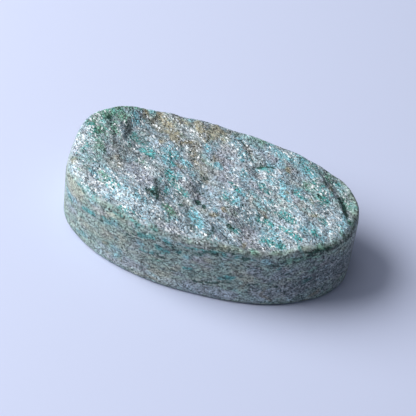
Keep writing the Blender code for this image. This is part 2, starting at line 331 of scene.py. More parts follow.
        (((-12.8, -7.0), (-10.6, -7.2)), 1.1, 0.70),
        (((-11.4, -5.8), (-7.6, -8.8)), 2.0, 0.50),
        (((-8.5, 0.3), (-8.2, 0.1)), 0.32, 1.0),
        (((-16.8, -7.0), (-16.0, -7.4)), 0.8, 0.55),
        (((-19.2, 1.2), (-18.2, 0.8)), 0.6, 0.80),
        (((-19.6, 3.8), (-18.6, 3.3)), 0.55, 0.85),
        (((-19.3, -0.2), (-18.6, -0.6)), 0.7, 0.60),
        (((13.5, -1.0), (13.7, -2.6)), 0.7, 0.80),
        (((17.4, 1.0), (17.5, -0.4)), 0.6, 0.85),
        (((18.1, -0.6), (18.5, -2.0)), 0.7, 0.75),
        (((10.8, -2.7), (11.5, -3.2)), 0.5, 0.70),
        (((13.5, -6.4), (13.9, -7.0)), 0.5, 0.70),
        (((16.0, 3.7), (16.5, 3.3)), 0.30, 0.60),
        (((15.0, 6.3), (15.6, 6.1)), 0.35, 0.80),
        (((19.4, 1.9), (19.6, 1.7)), 0.25, 1.0),
        (((6.8, 7.1), (7.2, 6.8)), 0.35, 0.80),
        (((1.6, -3.2), (2.4, -3.6)), 0.5, 0.60),
        (((5.9, 5.4), (8.4, 3.4)), 1.0, 0.50),
        (((9.2, -7.0), (10.2, -7.4)), 0.6, 0.50),
        (((12.0, -3.4), (15.4, -5.6)), 1.8, 0.45),
        (((-14.0, -4.0), (-12.8, -5.4)), 0.9, 0.40),
        (((6.4, 3.6), (8.4, 0.6)), 1.2, 0.50),
        (((3.0, 5.2), (3.1, 6.5)), 0.7, 0.90),
        (((7.4, 6.5), (7.6, 4.8)), 0.6, 0.70),
        (((7.4, -0.4), (10.4, -0.9)), 0.7, 0.62),
        (((4.3, 0.7), (4.7, 0.3)), 0.4, 0.70),
        (((12.2, 3.6), (13.8, 3.4)), 0.7, 0.60),
        (((-15.2, 6.8), (-14.8, 6.2)), 0.5, 0.90),
        (((-18.2, -5.0), (-17.8, -5.8)), 0.6, 0.80),
        (((-15.6, -7.6), (-14.6, -8.8), (-12.6, -8.9)), 0.9, 0.62),
        (((-9.4, -7.6), (-7.2, -8.6), (-4.6, -8.6)), 0.8, 0.60),
        (((2.8, -6.8), (3.2, -8.2)), 0.5, 0.70),
        (((5.7, -8.5), (6.3, -8.5)), 0.6, 0.70),
        (((6.0, -4.0), (6.3, -3.8)), 0.4, 0.60),
        (((14.8, -6.8), (15.3, -7.2)), 0.4, 0.70),
        (((-6.0, -2.4), (-5.8, -4.2)), 0.45, 0.60),
        (((-16.7, 2.3), (-16.3, 1.7)), 0.45, 0.70),
        (((-7.6, 3.9), (-7.2, 3.3)), 0.5, 0.50),
        (((16.4, 0.9), (16.8, -2.4)), 0.6, 0.62),
        (((-9.2, 9.6), (-7.4, 8.6)), 0.6, 0.55),
        (((-8.8, -6.6), (-7.4, -7.4)), 0.8, 0.62),
        (((4.4, -9.8), (6.4, -10.2)), 0.5, 0.55),
        (((-7.5, 5.2), (-6.0, 3.4)), 0.6, 0.45),
        (((4.4, 10.8), (4.7, 9.4)), 0.6, 0.50),
        (((13.6, 8.6), (14.8, 5.4)), 0.6, 0.42),
        (((6.2, -2.2), (6.6, -4.6)), 0.5, 0.45),
        (((-5.0, -11.6), (5.0, -11.2)), 0.8, 0.28),
        (((-18.1, 5.6), (-17.9, 3.4)), 0.4, 0.45),
        (((5.0, 5.0), (7.2, -1.6)), 2.6, 0.22),
        (((1.4, 6.8), (3.0, 4.2)), 1.3, 0.34),
        (((13.5, -7.0), (17.0, 1.0)), 2.2, 0.26),
        (((-6.0, 6.0), (-5.0, -1.0)), 2.0, 0.26),
    ),
}

# Colour marks of the edge, which run through the stone: the line in x and z, half-height and strength.
EDGE_MARKS = {
    "beige": (
        (((-18.0, 8.6), (-15.5, 9.2)), 0.6, 0.60),
        (((-17.8, 7.4), (-15.6, 7.9)), 0.9, 0.60),
        (((-12.8, 8.2), (-9.8, 8.3)), 0.5, 0.36),
        (((-15.0, 3.6), (-14.0, 4.0)), 0.6, 0.60),
        (((-10.5, 5.2), (-8.0, 5.6)), 0.8, 0.50),
        (((-9.5, 1.2), (-1.0, 1.4)), 0.8, 0.70),
        (((-3.0, 2.6), (-0.5, 3.0)), 0.7, 0.50),
        (((0.0, 3.4), (0.8, 4.6)), 0.5, 0.60),
        (((2.5, 6.4), (4.6, 7.4)), 0.7, 0.45),
        (((8.2, 6.2), (10.0, 5.4)), 0.8, 0.40),
    ),
    "turquoise": (
        (((-13.0, 9.4), (-1.0, 9.2)), 0.7, 0.42),
        (((-18.2, 5.9), (-16.4, 6.3)), 0.45, 0.90),
        (((-13.6, 8.8), (-12.4, 8.9)), 0.30, 0.60),
        (((-10.6, 7.3), (-8.9, 7.9)), 0.35, 0.70),
        (((-9.2, 3.3), (-7.8, 3.4)), 0.40, 0.70),
        (((-8.6, 2.2), (-8.0, 2.4)), 0.30, 0.60),
        (((-5.2, 6.6), (-4.6, 6.4)), 0.30, 0.80),
        (((-15.6, 1.4), (-13.6, 1.9)), 0.35, 0.50),
        (((1.2, 6.8), (1.8, 6.6)), 0.40, 0.50),
        (((6.5, 7.4), (6.9, 6.8)), 0.40, 0.50),
        (((11.8, 8.7), (12.6, 8.6)), 0.30, 0.50),
        (((-13.0, 9.6), (-6.0, 9.5)), 0.35, 0.50),
    ),
    "teal": (
        (((-17.8, 5.5), (-17.2, 5.4)), 0.30, 0.80),
        (((-14.8, 6.5), (-12.8, 7.0)), 0.35, 0.80),
        (((-11.4, 7.4), (-9.6, 7.8)), 0.30, 0.60),
        (((-14.8, 2.1), (-13.8, 2.2)), 0.25, 0.60),
        (((-10.2, 9.2), (-8.0, 9.2)), 0.30, 0.50),
        (((-5.2, 7.9), (-3.2, 8.3)), 0.45, 0.80),
        (((-2.6, 7.0), (-0.8, 6.8)), 0.40, 0.80),
        (((-1.6, 8.5), (-0.6, 8.2)), 0.40, 0.70),
        (((-4.8, 5.5), (-3.0, 5.7)), 0.35, 0.60),
        (((0.0, 7.5), (0.7, 7.4)), 0.30, 0.80),
        (((1.6, 4.6), (2.6, 4.6)), 0.30, 0.70),
        (((6.4, 4.2), (8.2, 4.9)), 0.50, 0.60),
        (((6.0, 6.0), (6.4, 6.4)), 0.30, 0.60),
        (((16.8, 4.3), (17.4, 4.6)), 0.40, 0.60),
        (((12.4, 7.0), (13.8, 7.2)), 0.30, 0.40),
        (((0.6, 8.4), (3.2, 8.6)), 0.60, 0.45),
        (((3.4, 8.7), (10.0, 8.9)), 0.55, 0.42),
        (((-2.0, 6.0), (-1.2, 6.4)), 0.30, 0.45),
    ),
    "deep": (
        (((-11.4, 6.8), (-11.0, 6.95)), 0.24, 0.85),
        (((-7.2, 6.9), (-7.0, 7.1)), 0.26, 0.81),
        (((-4.8, 8.6), (-4.4, 8.65)), 0.24, 0.81),
        (((-2.5, 5.75), (-2.2, 5.75)), 0.24, 0.85),
        (((-1.9, 5.4), (-1.4, 5.5)), 0.26, 0.85),
        (((-0.3, 7.8), (0.0, 7.4)), 0.24, 0.81),
        (((0.2, 7.4), (0.7, 7.4)), 0.26, 0.85),
        (((2.2, 7.6), (2.4, 7.4)), 0.26, 0.81),
        (((3.0, 8.0), (3.6, 8.0)), 0.26, 0.81),
        (((4.0, 8.6), (4.6, 8.7), (5.8, 8.8)), 0.28, 0.81),
        (((7.4, 9.0), (8.1, 9.0)), 0.31, 0.81),
        (((9.1, 8.8), (9.6, 8.7)), 0.31, 0.81),
        (((12.6, 8.0), (13.5, 8.0)), 0.26, 0.81),
        (((2.6, 3.7), (2.9, 3.6)), 0.26, 0.60),
        (((3.0, 2.7), (3.5, 2.75)), 0.24, 0.85),
        (((1.0, 7.6), (3.4, 7.7)), 0.24, 0.68),
        (((-6.2, 7.6), (-5.2, 7.8)), 0.24, 0.68),
        (((9.0, 5.2), (9.8, 5.3)), 0.24, 0.68),
        (((10.8, 4.0), (11.4, 4.1)), 0.24, 0.68),
        (((14.6, 6.0), (15.0, 6.1)), 0.24, 0.68),
        (((3.9, 2.8), (5.1, 3.0), (6.4, 3.4)), 0.24, 0.85),
        (((6.9, 3.75), (7.6, 3.9)), 0.24, 0.81),
        (((13.6, 3.8), (13.9, 3.75)), 0.24, 0.85),
        (((15.1, 2.8), (15.3, 2.9)), 0.24, 0.60),
        (((16.8, 9.2), (17.6, 9.2)), 0.41, 0.85),
        (((17.0, 4.6), (17.3, 4.4)), 0.31, 0.60),
    ),
    # white: the long low band along the foot is painted light, bounce from the table; the others are pale
    # rock.
    "white": (
        (((-12.0, 1.2), (17.0, 1.2)), 1.1, 0.62),
        (((-12.0, 2.6), (-4.0, 2.6)), 1.0, 0.40),
        (((-4.6, 8.6), (-2.6, 7.6)), 0.6, 0.45),
    ),
    "green": (
        (((14.0, 8.6), (18.4, 8.8)), 0.7, 0.62),
        (((-3.0, 4.2), (-1.6, 4.8)), 0.5, 0.22),
        (((17.6, 6.0), (18.4, 7.4)), 0.6, 0.40),
    ),
    # dark: painted shade over the right end of the edge, which is turned from the lamp, and darker rock in
    # the small spots.
    "dark": (
        (((13.0, 8.4), (18.8, 8.8)), 0.8, 0.50),
        (((13.0, 5.0), (15.0, 5.2)), 4.0, 0.28),
        (((17.5, 5.0), (21.0, 5.4)), 5.0, 0.55),
        (((-3.4, 3.1), (-3.0, 3.0)), 0.35, 0.70),
        (((-2.0, 3.2), (-1.2, 3.4)), 0.30, 0.60),
        (((-4.2, 3.9), (-3.6, 3.6)), 0.25, 0.60),
        (((-7.0, 6.9), (0.0, 7.6)), 1.0, 0.35),
        (((9.0, 7.4), (17.0, 7.6)), 1.0, 0.34),
        (((14.0, 8.0), (17.5, 7.4)), 1.0, 0.40),
        (((8.0, 2.9), (8.8, 3.4)), 0.4, 0.50),
        (((-17.5, 5.4), (-16.0, 4.4)), 0.6, 0.30),
    ),
    "lilac": (
        (((2.5, 1.6), (8.0, 1.3)), 0.8, 0.70),
        (((12.0, 2.4), (17.0, 3.2)), 1.0, 0.60),
        (((13.5, 5.5), (15.5, 6.5)), 0.9, 0.50),
        (((-18.0, 4.0), (-16.0, 4.4)), 0.5, 0.40),
        (((2.6, 7.0), (4.4, 6.4)), 0.6, 0.50),
        (((-7.0, 2.2), (-4.0, 2.2)), 0.7, 0.50),
        (((10.5, 6.5), (12.5, 5.5)), 0.7, 0.45),
        (((19.0, 5.0), (20.5, 5.0)), 3.0, 0.60),
        (((-6.0, 9.3), (4.0, 9.3)), 0.7, 0.42),
    ),
    "brown": (
        (((-10.7, 3.2), (-10.3, 3.4)), 0.30, 0.60),
        (((-14.9, 4.1), (-14.0, 3.8)), 0.35, 0.50),
        (((9.3, 3.0), (9.8, 3.8)), 0.40, 0.70),
        (((12.0, 2.2), (13.4, 1.2)), 0.35, 0.70),
        (((18.0, 1.4), (18.6, 1.8)), 0.50, 0.50),
        (((-0.4, 3.2), (0.6, 2.8)), 0.50, 0.60),
        (((8.8, 7.4), (9.2, 7.0)), 0.30, 0.60),
        (((-3.6, 1.0), (-2.0, 1.2)), 0.30, 0.50),
        (((12.6, 3.4), (12.2, 2.9)), 0.30, 0.60),
    ),
}
# The layers sink by this much for each millimetre across the far half of the stone.
EDGE_DIP = 0.06
MARK_NAMES = ("green", "deep", "teal", "turquoise", "ochre", "brown", "dark", "lilac", "white", "beige")


# The stone's surface


def solid_surface():
    """The solid's surface, merged, and put back together from loose triangles."""
    mesh = bmesh.new()
    mesh.from_mesh(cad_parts["amazonite_stone"].data)
    bmesh.ops.remove_doubles(mesh, verts=mesh.verts, dist=MERGE_SLACK * MM)
    down = [face for face in mesh.faces if face.normal.z < FLAT_DOWN]
    bmesh.ops.dissolve_faces(mesh, faces=down, use_verts=True)
    loose = [face for face in mesh.faces if len(face.verts) == 3]
    bmesh.ops.join_triangles(
        mesh, faces=loose, angle_face_threshold=math.pi, angle_shape_threshold=math.pi
    )
    return mesh


def cut_back(mesh):
    """A square net of cuts over the sawn back."""
    for across in (Vector((1, 0, 0)), Vector((0, 1, 0))):
        for step in range(-BACK_CUTS, BACK_CUTS + 1):
            faces = [face for face in mesh.faces if face.normal.z < FLAT_DOWN]
            edges = dict.fromkeys(edge for face in faces for edge in face.edges)
            verts = dict.fromkeys(vert for face in faces for vert in face.verts)
            bmesh.ops.bisect_plane(
                mesh, geom=[*faces, *edges, *verts], dist=CUT_SLACK * MM,
                plane_co=across * step * BACK_NET * MM, plane_no=across,
            )


def cut_rows(mesh):
    """Level cuts round the edge of the stone, from the back up to where the top begins."""
    height = EDGE_ROW * 2
    while height < EDGE_ROWS_TO:
        parts = mesh.verts[:] + mesh.edges[:] + mesh.faces[:]
        bmesh.ops.bisect_plane(
            mesh, geom=parts, dist=CUT_SLACK * MM, plane_co=(0, 0, height * MM), plane_no=(0, 0, 1)
        )
        height += EDGE_ROW


def is_level(edge):
    """Whether an edge runs round the stone, and not up it."""
    return abs(edge.verts[0].co.z - edge.verts[1].co.z) < LEVEL_SLACK * MM


def is_on_top(edge):
    """Whether an edge bounds a face that looks up."""
    return any(face.normal.z > LOOKS_UP for face in edge.link_faces)


def refine(mesh):
    """Finer faces on the top, finer columns round the edge, and the facets of the solid smoothed out."""
    edges = [edge for edge in mesh.edges if is_level(edge) or is_on_top(edge)]
    bmesh.ops.subdivide_edges(mesh, edges=edges, cuts=CUTS, use_grid_fill=True)
    movable = [vert for vert in mesh.verts if vert.co.z > BACK_SLACK * MM]
    for _ in range(SMOOTHINGS):
        bmesh.ops.smooth_vert(
            mesh, verts=movable, factor=SMOOTHING, use_axis_x=True, use_axis_y=True, use_axis_z=True
        )


def smoothstep(low, high, value):
    """0 below low, 1 above high, and eased between them."""
    share = np.clip((value - low) / (high - low), 0.0, 1.0)
    return share * share * (3 - 2 * share)


def distance_inward(mesh):
    """How far in from the ground edge each point lies, in millimetres."""
    foot = [vert.co for vert in mesh.verts if FOOT[0] * MM < vert.co.z < FOOT[1] * MM]
    tree = kdtree.KDTree(len(foot))
    for index, place in enumerate(foot):
        tree.insert((place.x, place.y, 0), index)
    tree.balance()
    return np.array([tree.find((vert.co.x, vert.co.y, 0))[2] / MM for vert in mesh.verts])


def brokenness(places, inward, up):
    """1 on the broken face, 0 where the stone is ground, with a wandering border between them."""
    wander = np.array([noise.noise(Vector(place)) for place in places / BAND_WANDER_LENGTH])
    band = GROUND_BAND + BAND_WANDER * wander
    for middle_x, middle_y, reach, extra in WIDER_BANDS:
        away = (places[:, 0] - middle_x) ** 2 + (places[:, 1] - middle_y) ** 2
        band += extra * np.exp(-away / reach**2)
    past_band = smoothstep(band - BAND_FADE / 2, band + BAND_FADE / 2, inward)
    return past_band * smoothstep(*BROKEN_FACES, up)


def line_distance(points, line):
    """The distance of each point from a line of two or more corners."""
    nearest = np.full(len(points), np.inf)
    for start, end in zip(line, line[1:]):
        start, run = np.array(start), np.subtract(end, start)
        share = np.clip((points - start) @ run / (run @ run), 0, 1)
        nearest = np.minimum(nearest, np.linalg.norm(points - start - share[:, None] * run, axis=1))
    return nearest


def marks(points, lines):
    """How strongly each point is marked by lines with a soft border."""
    total = np.zeros(len(points))
    for line, half_width, strength in lines:
        total = np.maximum(total, strength * np.exp(-((line_distance(points, line) / half_width) ** 2)))
    return total


def crystal_height(spot, size, rise, tilt, groove):
    """Crystals packed side by side: each at its own height and tilt, with a groove where two meet."""
    cell = Vector((spot[0] / size[0], spot[1] / size[1], spot[2] / size[2]))
    distances, centres = noise.voronoi(cell)
    draw = noise.cell_vector(centres[0] * DRAW_SCALE)
    offset = cell - centres[0]
    lean = (draw.y - 0.5) * offset.x * size[0] + (draw.z - 0.5) * offset.y * size[1]
    meeting = max(0.0, 1 - (distances[1] - distances[0]) / GROOVE_WIDTH)
    return rise * (draw.x - 0.5) + 2 * tilt * lean - groove * meeting


def break_height(place):
    """How far the broken face stands above or below the solid, in millimetres."""
    spot = Matrix.Rotation(-LAYER_TURN, 3, "Z") @ Vector(place)
    spot += noise.noise_vector(spot / BEND_LENGTH) * BEND
    height = crystal_height(spot, *CHUNKS) + crystal_height(spot, *CRYSTALS)
    return height + FINE_RISE * noise.noise(spot / FINE_SIZE)


def break_top(mesh, places, broken):
    """The crystals and cracks of the broken face."""
    noise.seed_set(BEND_SEED)
    relief = np.array([break_height(place) if share > 0 else 0.0 for place, share in zip(places, broken)])
    cracks = marks(places[:, :2], CRACKS)
    for vert, share, height, crack in zip(mesh.verts, broken, relief, cracks):
        vert.co.z += share * (height - crack) * MM


def pit_edge(mesh, places, broken):
    """Shallow pits where the stone is ground."""
    pits = np.array([noise.noise(Vector(place)) for place in places / PIT_SIZE])
    for vert, share, pit in zip(mesh.verts, broken, pits):
        if vert.co.z > PITS_FROM * MM:
            vert.co += vert.normal * (1 - share) * PIT_DEPTH * pit * MM


def stone_mesh():
    """The whole surface in detail, with the marks as numbers on its points."""
    mesh = solid_surface()
    cut_back(mesh)
    cut_rows(mesh)
    refine(mesh)
    mesh.normal_update()
    places = np.array([vert.co for vert in mesh.verts]) / MM
    normals = np.array([vert.normal for vert in mesh.verts])
    broken = brokenness(places, distance_inward(mesh), normals[:, 2])
    break_top(mesh, places, broken)
    pit_edge(mesh, places, broken)
    data = bpy.data.meshes.new("amazonite_stone_detailed")
    mesh.to_mesh(data)
    mesh.free()
    add_marks(data, places, normals, broken)
    return data


def add_number(data, name, values):
    """A number on each point, which the material reads by its name."""
    data.attributes.new(name, "FLOAT", "POINT").data.foreach_set("value", values.astype(np.float32))


def add_marks(data, places, normals, broken):
    """Each mark as a number on the points: the sawn back has the top's marks turned half round."""
    up = smoothstep(*TOP_FACES, normals[:, 2])
    down = smoothstep(*BACK_FACES, -normals[:, 2])
    layer = places[:, 2] + EDGE_DIP * np.maximum(places[:, 1], 0)
    around_edge = np.stack([places[:, 0], layer], axis=1)
    add_number(data, "broken", broken)
    add_number(data, "sawn", down)
    for name in MARK_NAMES:
        tops, edges = TOP_MARKS.get(name, ()), EDGE_MARKS.get(name, ())
        flat = marks(places[:, :2], tops) * up + marks(-places[:, :2], tops) * down
        side = marks(around_edge, edges) * (1 - up) * (1 - down)
        add_number(data, name, np.maximum(flat, side))


def build_stone():
    data = stone_mesh()
    data.shade_smooth()
    data.materials.append(amazonite())
    stone = bpy.data.objects.new("amazonite_stone_detailed", data)
    bpy.context.scene.collection.objects.link(stone)
    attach(stone, "root")
    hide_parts("amazonite_stone")


# The material


def linear(red, green, blue):
    """A colour given as it is seen on a screen, from 0 to 255."""
    shares = [value / 255 for value in (red, green, blue)]
    return tuple(
        share / 12.92 if share <= 0.04045 else ((share + 0.055) / 1.055) ** 2.4 for share in shares
    )


def add(tree, kind, inputs=None, **settings):
    """A new node of that kind, with its settings, and each input linked or set."""
    node = tree.nodes.new(kind)
    for name, value in settings.items():
        setattr(node, name, value)
    for key, value in (inputs or {}).items():
        if isinstance(value, bpy.types.NodeSocket):
            tree.links.new(value, node.inputs[key])
        else:
            node.inputs[key].default_value = value
    return node


def plus(tree, first, second):
    return add(tree, "ShaderNodeMath", {0: first, 1: second}, operation="ADD").outputs[0]


def minus(tree, first, second):
    return add(tree, "ShaderNodeMath", {0: first, 1: second}, operation="SUBTRACT").outputs[0]


def times(tree, first, second):
    return add(tree, "ShaderNodeMath", {0: first, 1: second}, operation="MULTIPLY").outputs[0]


def rise(tree, value, low, high, start=0.0, end=1.0):
    """A value eased from start at low to end at high."""
    limits = {"From Min": low, "From Max": high, "To Min": start, "To Max": end}
    node = add(tree, "ShaderNodeMapRange", {"Value": value, **limits}, interpolation_type="SMOOTHSTEP")
    return node.outputs[0]


def spread(tree, value, start, end):
    """A value from 0 to 1 spread evenly from start to end."""
    limits = {"From Min": 0.0, "From Max": 1.0, "To Min": start, "To Max": end}
    return add(tree, "ShaderNodeMapRange", {"Value": value, **limits}).outputs[0]


def blend(tree, share, first, second):
    """Two colours blended, each a socket or a colour."""
    inputs = {0: share}
    for socket, value in ((6, first), (7, second)):
        inputs[socket] = value if isinstance(value, bpy.types.NodeSocket) else (*value, 1.0)
    return add(tree, "ShaderNodeMix", inputs, data_type="RGBA").outputs[2]


def layered(tree, place, length, width, height, shift=0.0):
    """Coordinates in which a pattern is that long along the layers, that wide across and that thick."""
    inputs = {
        "Vector": place,
        "Location": (shift * MM, 0, 0),
        "Rotation": (LAYER_DIP, 0, LAYER_TURN),
        "Scale": (length * MM, width * MM, height * MM),
    }
    return add(tree, "ShaderNodeMapping", inputs, vector_type="TEXTURE").outputs[0]


def cloud(tree, place, detail=2.0):
    """Soft patches, from 0 to 1."""
    inputs = {"Vector": place, "Scale": 1.0, "Detail": detail}
    return add(tree, "ShaderNodeTexNoise", inputs).outputs["Fac"]


def number(tree, name):
    """One of the numbers that add_number put on the points."""
    return add(tree, "ShaderNodeAttribute", attribute_name=name).outputs["Fac"]


def grains(tree, place):
    """Grains side by side: three values of each one's own, those values as one vector, and its dome."""
    node = add(tree, "ShaderNodeTexVoronoi", {"Vector": place, "Scale": 1.0, "Randomness": 1.0})
    parts = add(tree, "ShaderNodeSeparateColor", {0: node.outputs["Color"]})
    return (*parts.outputs[:3], node.outputs["Color"], node.outputs["Distance"])


def grain_borders(tree, place):
    """The distance from the border between two grains."""
    inputs = {"Vector": place, "Scale": 1.0, "Randomness": 1.0}
    return add(tree, "ShaderNodeTexVoronoi", inputs, feature="DISTANCE_TO_EDGE").outputs["Distance"]


def blend_number(tree, share, first, second):
    return add(tree, "ShaderNodeMix", {0: share, 2: first, 3: second}).outputs[0]


def vector(tree, operation, inputs):
    return add(tree, "ShaderNodeVectorMath", inputs, operation=operation).outputs[0]


def scale_color(tree, color, value):
    return vector(tree, "SCALE", {0: color, "Scale": value})


# Tints of the rock: how rare each is without a mark, how soft its border is, how much of it shows on the
# ground part and on the broken one, the length, width and thickness of its patches, and its colour.
TINTS = (
    ("beige", 0.6, 0.9, (0.55, 0.50), (4.4, 2.6, 1.4), (170, 166, 146)),
    ("lilac", 0.5, 0.8, (0.50, 0.60), (3.4, 2.0, 1.2), (154, 154, 170)),
    # white: pale rock, partly painted highlight on the top and painted bounce light along the foot.
    ("white", 1.4, 0.9, (0.24, 0.68), (2.0, 1.2, 0.80), (202, 222, 236)),
    ("green", 1.25, 0.8, (0.60, 0.78), (3.2, 1.7, 0.9), (96, 154, 126)),
    ("brown", 1.4, 0.8, (0.60, 0.65), (2.2, 1.3, 0.7), (128, 118, 94)),
    ("ochre", 1.3, 0.8, (0.60, 0.75), (2.0, 1.3, 0.8), (146, 138, 108)),
    ("turquoise", 1.0, 0.85, (0.36, 0.70), (2.6, 1.5, 0.8), (108, 184, 200)),
    ("teal", 1.2, 0.75, (0.74, 0.82), (1.9, 0.9, 0.50), (50, 144, 144)),
    # dark: partly darker rock and partly painted shade, where the dark marks lie.
    ("dark", 1.5, 0.8, (0.75, 0.60), (1.8, 0.9, 0.50), (76, 88, 92)),
    ("deep", 1.45, 0.45, (0.86, 0.90), (0.8, 0.4, 0.25), (16, 68, 58)),
)

# How much a mark counts against a soft cloud, how far the cloud's values spread, and how far apart in the
# cloud two tints are read.
MARK_GAIN = 3.2
CLOUD_SPREAD = 0.208
TINT_APART = 40.0

# The rock between the tints: two near colours on the ground part and two on the broken one.
GROUND_COLORS = ((132, 155, 147), (146, 166, 157))
ROUGH_COLORS = ((133, 159, 174), (151, 173, 188))
GROUND_PATCH = (4.0, 2.5, 1.0)
ROUGH_PATCH = (4.0, 2.5, 2.0)
PIT_COLOR = (30, 66, 58)
SPECK_COLOR = (218, 232, 240)
# Painted highlight: the glints' near-white colour stands for the lamp's sparkle off crystal faces.
PAINTED_GLINT_COLOR = (238, 245, 250)

# Grains and patches, in millimetres: length, width and thickness, and how far the pattern is shifted.
SLIVER = (0.39, 0.18, 0.24)
SPECK = (0.20, 0.13, 0.14, 7.0)
GROUND_GRAIN = (0.23, 0.20, 0.17, 3.0)
MOTTLE = (0.80, 0.70, 0.45, 11.0)
SPARKLE_PATCH = (4.5, 3.0, 2.0, 5.0)

# How far the patches' borders waver, and over what length.
WAVER = 0.25
WAVER_LENGTH = 0.9

# How light the grains are. For the dark ones: from, to, and the light at each end. For the others: the
# lowest and the highest light.
DARK_SLIVERS = (0.04, 0.22, 0.34, 1.0)
# Painted shade: each sliver is darker at its border, for the shade in the groove where two slivers meet.
SLIVER_GROOVE_SHADE = (0.0, 0.10, 0.72, 1.0)
SLIVER_LIGHT = (0.20, 1.98)
DARK_GRAINS = (0.02, 0.16, 0.22, 1.0)
GRAIN_LIGHT = (0.34, 1.74)
MOTTLE_DETAIL = 3.0
MOTTLE_LIGHT = (0.40, 1.60)
# How much the dark marks, partly painted shade, add dark grains and pits.
DARK_AND_SHADE_MARK = 0.20

# Pits, pale specks and painted glints: the rarest share of the grains, and how much of their colour shows.
# The glints are painted highlight; the specks are pale grains, partly painted sparkle.
PITS = (0.95, 0.97, 0.0, 0.80)
PITS_ON_DARK = 0.3
SPECKS = (0.84, 0.90, 0.0, 0.85)
# The painted glints are the rarest slivers, turned near white.
PAINTED_GLINTS = (0.93, 0.96, 0.0, 0.92)
SPARKLE = (-0.22, 0.22)
WHITE_MARK = 0.20
DEEP_MARK = 0.4

# Gloss, lean and relief of the grains, on the ground part and on the broken one.
GROUND_GLOSS = (0.45, 0.60)
ROUGH_GLOSS = (0.25, 0.65)
PALE_START = 0.1
SLIVER_LEAN = (0.50, 1.7)
SPECK_LEAN = 1.05
SLIVER_DOME = 0.6
SPECK_DOME = 0.4
DOME_RISE = 0.04
DOME_STRENGTH = (0.10, 0.8)

# The saw's lines on the back: how close, how deep in millimetres, and how strong.
SAW_LINES = 0.5
SAW_DEPTH = 0.012
SAW_STRENGTH = 0.6


def wavered(tree, place):
    """Coordinates pushed to and fro a little, so that no patch has a straight border."""
    inputs = {"Vector": place, "Scale": 1 / (WAVER_LENGTH * MM), "Detail": 1.0}
    shove = add(tree, "ShaderNodeTexNoise", inputs).outputs["Color"]
    shove = vector(tree, "SUBTRACT", {0: shove, 1: (0.5, 0.5, 0.5)})
    return vector(tree, "MULTIPLY_ADD", {0: shove, 1: (WAVER * MM,) * 3, 2: place})


def tint_share(tree, place, broken, name, rare, soft, opacity, size, shift):
    """How much of one tint shows: on marks, and here and there where a soft cloud is dense."""
    field = cloud(tree, layered(tree, place, *size, shift))
    patch = spread(tree, field, -0.5 / CLOUD_SPREAD, 0.5 / CLOUD_SPREAD)
    mark = times(tree, number(tree, name), MARK_GAIN)
    share = rise(tree, plus(tree, patch, mark), rare - soft, rare + soft)
    return times(tree, share, spread(tree, broken, *opacity))


def rock_color(tree, place, bent, broken):
    """The ground colour of the rock, with every tint laid over it in turn."""
    ground, rough = (
        blend(tree, cloud(tree, layered(tree, place, *patch)), linear(*colors[0]), linear(*colors[1]))
        for patch, colors in ((GROUND_PATCH, GROUND_COLORS), (ROUGH_PATCH, ROUGH_COLORS))
    )
    color = blend(tree, broken, ground, rough)
    for index, (name, rare, soft, opacity, size, tint) in enumerate(TINTS):
        share = tint_share(tree, bent, broken, name, rare, soft, opacity, size, TINT_APART * index)
        color = blend(tree, share, color, linear(*tint))
    return color


def rough_light(tree, slivers, rarity, own, dark):
    """How light each sliver of the broken face is: some are dark, more of them on the dark marks, which are
    partly painted shade, and each has a thin dark border, painted shade in the groove where two slivers
    meet.
    """
    pepper = rise(tree, minus(tree, rarity, dark), *DARK_SLIVERS)
    # Painted shade in the grooves between slivers.
    border = rise(tree, grain_borders(tree, slivers), *SLIVER_GROOVE_SHADE)
    return times(tree, pepper, times(tree, spread(tree, own, *SLIVER_LIGHT), border))


def ground_light(tree, place, rarity, own, dark):
    """How light each grain of the ground part is, with more dark grains on the dark marks, which are partly
    painted shade.
    """
    mottle = spread(tree, cloud(tree, layered(tree, place, *MOTTLE), MOTTLE_DETAIL), *MOTTLE_LIGHT)
    pepper = rise(tree, minus(tree, rarity, dark), *DARK_GRAINS)
    return times(tree, pepper, times(tree, mottle, spread(tree, own, *GRAIN_LIGHT)))


def paleness(tree, place):
    """More bright grains, pale specks and painted glints, on white marks and in some soft patches, and fewer
    on the deepest marks.
    """
    sparkle = spread(tree, cloud(tree, layered(tree, place, *SPARKLE_PATCH)), *SPARKLE)
    plain = times(tree, number(tree, "deep"), DEEP_MARK)
    return plus(tree, times(tree, number(tree, "white"), WHITE_MARK), minus(tree, sparkle, plain))


def facets(tree, *sets):
    """The surface normal, leaned a different way on each crystal of each set."""
    normal = add(tree, "ShaderNodeNewGeometry").outputs["Normal"]
    for ways, lean in sets:
        way = vector(tree, "SUBTRACT", {0: ways, 1: (0.5, 0.5, 0.5)})
        normal = vector(tree, "ADD", {0: normal, 1: vector(tree, "SCALE", {0: way, "Scale": lean})})
    return vector(tree, "NORMALIZE", {0: normal})


def saw_marks(tree, place, normal):
    """Faint lines that the saw left on the back."""
    waves = {"Vector": place, "Scale": SAW_LINES / MM, "Distortion": 1.5, "Detail": 2.0, "Detail Scale": 0.2}
    lines = times(tree, add(tree, "ShaderNodeTexWave", waves).outputs["Fac"], number(tree, "sawn"))
    inputs = {"Height": lines, "Distance": SAW_DEPTH * MM, "Strength": SAW_STRENGTH, "Normal": normal}
    return add(tree, "ShaderNodeBump", inputs).outputs[0]


